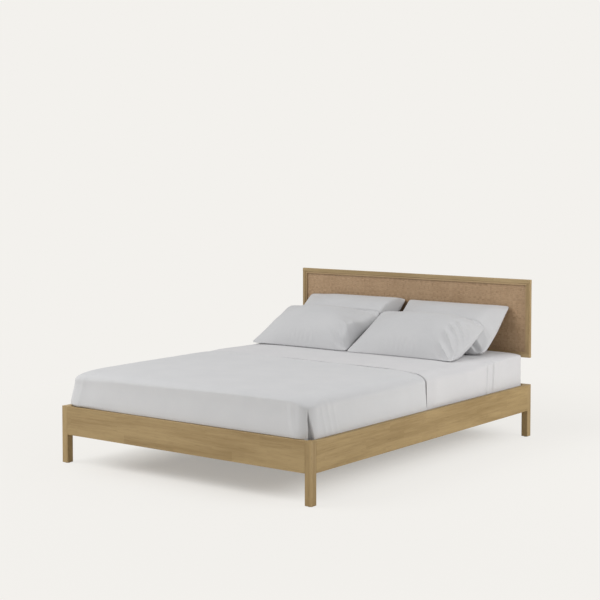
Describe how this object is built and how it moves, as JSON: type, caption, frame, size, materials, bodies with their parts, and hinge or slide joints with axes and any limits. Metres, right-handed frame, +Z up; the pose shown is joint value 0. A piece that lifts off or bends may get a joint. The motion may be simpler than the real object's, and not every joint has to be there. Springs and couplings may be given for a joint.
{
  "type": "rattan bed",
  "caption": "Low wooden bed frame on square legs with a floating rattan-panel headboard, slatted base, mattress, sheets and leaning pillows.",
  "frame": {"origin": "on the floor, under the middle of the whole bed's length and width", "axes": "+X to the right seen from the foot, +Y towards the head, +Z up"},
  "size_m": [1.6, 2.108, 0.89],
  "materials": {
    "oak": "matt oiled",
    "slat_wood": "plain sanded",
    "rattan": "woven cane",
    "back_board": "veneered",
    "steel": "zinc plated",
    "glide_plastic": "matt",
    "mattress_cover": "knitted",
    "sheet": "woven cotton",
    "pillowcase": "woven cotton"
  },
  "bodies": {
    "frame": {"leg_foot_left": "oak", "leg_foot_right": "oak", "leg_head_left": "oak", "leg_head_right": "oak", "foot_rail": "oak", "head_rail": "oak", "side_rail_left": "oak", "side_rail_right": "oak", "headboard_top_rail": "oak", "headboard_bottom_rail": "oak", "headboard_left_stile": "oak", "headboard_right_stile": "oak", "bead_top": "oak", "bead_bottom": "oak", "bead_left": "oak", "bead_right": "oak", "strut_left": "oak", "strut_right": "oak", "ledge_left": "slat_wood", "ledge_right": "slat_wood", "slat_01": "slat_wood", "slat_02": "slat_wood", "slat_03": "slat_wood", "slat_04": "slat_wood", "slat_05": "slat_wood", "slat_06": "slat_wood", "slat_07": "slat_wood", "slat_08": "slat_wood", "slat_09": "slat_wood", "slat_10": "slat_wood", "slat_11": "slat_wood", "slat_12": "slat_wood", "centre_beam": "slat_wood", "centre_leg_foot_end": "slat_wood", "centre_leg_head_end": "slat_wood", "rattan_panel": "rattan", "back_panel": "back_board", "corner_bolts": "steel", "plate_screws": "steel", "ledge_screws": "steel", "slat_screws": "steel", "headboard_screws": "steel", "strut_bolts": "steel", "strut_nuts": "steel", "centre_leg_studs": "steel", "threaded_inserts": "steel", "corner_plates": "steel", "beam_stirrups": "steel", "leg_glides": "glide_plastic"},
    "mattress": {"mattress": "mattress_cover", "fitted_sheet": "sheet", "top_sheet": "sheet"},
    "pillow_rear_left": {"pillow_rear_left": "pillowcase"},
    "pillow_rear_right": {"pillow_rear_right": "pillowcase"},
    "pillow_front_left": {"pillow_front_left": "pillowcase"},
    "pillow_front_right": {"pillow_front_right": "pillowcase"},
    "levelling_screw_foot_end": {"levelling_screw_foot_end": "glide_plastic"},
    "levelling_screw_head_end": {"levelling_screw_head_end": "glide_plastic"}
  },
  "joints": [
    {"name": "mattress_lift", "type": "slide", "parent": "frame", "child": "mattress", "axis": [0, 0, 1], "range_m": [0, 0.7]},
    {"name": "pillow_rear_left_lift", "type": "slide", "parent": "mattress", "child": "pillow_rear_left", "axis": [0, 0, 1], "range_m": [0, 0.45]},
    {"name": "pillow_front_left_lift", "type": "slide", "parent": "pillow_rear_left", "child": "pillow_front_left", "axis": [0, 0, 1], "range_m": [0, 0.45]},
    {"name": "pillow_rear_right_lift", "type": "slide", "parent": "mattress", "child": "pillow_rear_right", "axis": [0, 0, 1], "range_m": [0, 0.45]},
    {"name": "pillow_front_right_lift", "type": "slide", "parent": "pillow_rear_right", "child": "pillow_front_right", "axis": [0, 0, 1], "range_m": [0, 0.45]},
    {"name": "levelling_foot_end_turn_out", "type": "slide", "parent": "frame", "child": "levelling_screw_foot_end", "axis": [0, 0, -1], "range_m": [0, 0.012]},
    {"name": "levelling_head_end_turn_out", "type": "slide", "parent": "frame", "child": "levelling_screw_head_end", "axis": [0, 0, -1], "range_m": [0, 0.012]}
  ]
}
